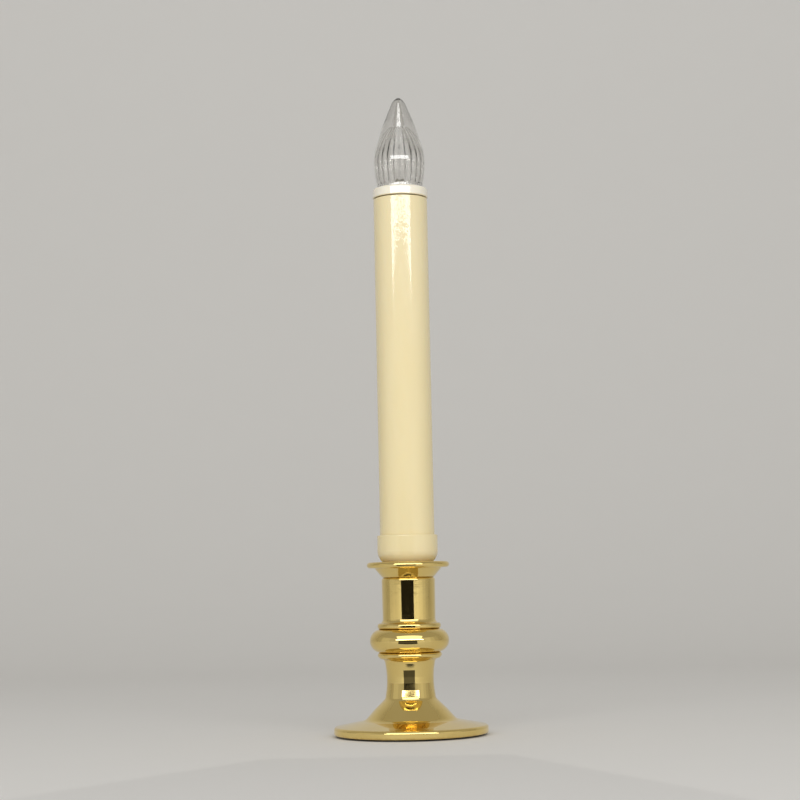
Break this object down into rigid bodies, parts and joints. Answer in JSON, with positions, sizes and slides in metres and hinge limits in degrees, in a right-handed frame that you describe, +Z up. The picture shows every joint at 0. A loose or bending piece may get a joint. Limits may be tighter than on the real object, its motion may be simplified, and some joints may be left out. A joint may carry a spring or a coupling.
{
  "type": "flameless candle",
  "caption": "Battery window candle: ivory sleeve with a clear flame-shaped lens in a plated round-foot candlestick; sleeve lifts off its cells, collar twists to switch.",
  "frame": {"origin": "middle of the face that rests on the sill, at the bottom of the foam pad", "axes": "+Z runs up the candle's axis to the lens tip; the object is round about Z; -Y faces the viewer and is the side where the cells go in once the sleeve is off"},
  "size_m": [0.0617, 0.0616, 0.2591],
  "materials": {
    "pad": "charcoal closed-cell foam with a fine open grain",
    "weight": "rough grey casting",
    "plated_brass": "mirror-polished brass plating under clear lacquer",
    "zinc_steel": "zinc-plated steel",
    "ivory_plastic": "glossy moulded ivory plastic, slightly translucent",
    "carrier_plastic": "fine-grained moulded ivory plastic",
    "contact_metal": "nickel-plated spring steel",
    "contact_brass": "bare stamped brass",
    "cell_jacket": "plain shrink jacket with bare steel ends",
    "holder_plastic": "off-white moulded plastic",
    "wire_jacket": "black insulation",
    "board": "green lacquered board",
    "chip_epoxy": "black moulded epoxy",
    "resistor_body": "tan lacquer with colour bands",
    "led_epoxy": "clear epoxy lamp",
    "clear_lens": "clear moulded acrylic with a fluted bore"
  },
  "bodies": {
    "candlestick": {"base_pad": "pad", "base_weight": "weight", "foot_shell": "plated_brass", "lower_step_ring": "plated_brass", "knop": "plated_brass", "upper_step_ring": "plated_brass", "column_sleeve": "plated_brass", "drip_pan": "plated_brass", "tie_rod": "zinc_steel", "tie_rod_nuts": "zinc_steel", "tie_rod_washers": "zinc_steel", "candle_socket": "ivory_plastic", "battery_carrier": "carrier_plastic", "negative_plate": "contact_metal", "negative_spring": "contact_metal", "lower_cell": "cell_jacket", "upper_cell": "cell_jacket", "positive_plate": "contact_metal", "contact_stud": "contact_metal", "return_strip": "contact_metal"},
    "candle_sleeve": {"candle_tube": "ivory_plastic", "bulb_holder": "holder_plastic", "return_finger": "contact_metal"},
    "switch_plunger": {"contact_plunger": "contact_brass", "feed_spring": "contact_metal"},
    "bulb": {"twist_collar": "ivory_plastic", "snap_ring": "zinc_steel", "cam_ring": "holder_plastic", "slip_ring": "contact_brass", "return_wire": "wire_jacket", "circuit_board": "board", "board_contact": "contact_brass", "driver_chip": "chip_epoxy", "resistor": "resistor_body", "led_leads": "contact_metal", "led_lamp": "led_epoxy", "bulb_lens": "clear_lens"}
  },
  "joints": [
    {"name": "sleeve_lift", "type": "slide", "parent": "candlestick", "child": "candle_sleeve", "axis": [0, 0, 1], "range_m": [0, 0.125]},
    {"name": "bulb_twist", "type": "hinge", "parent": "candle_sleeve", "child": "bulb", "pos_m": [0, 0, 0.2], "axis": [0, 0, -1], "range_deg": [0, 90]},
    {"name": "plunger_drop", "type": "slide", "parent": "candle_sleeve", "child": "switch_plunger", "axis": [0, 0, -1], "range_m": [0, 0.0008], "deforming": ["feed_spring"]}
  ],
  "couplings": [
    {"joint": "plunger_drop", "follows": "bulb_twist", "m_per_rad": 0.00050929}
  ]
}
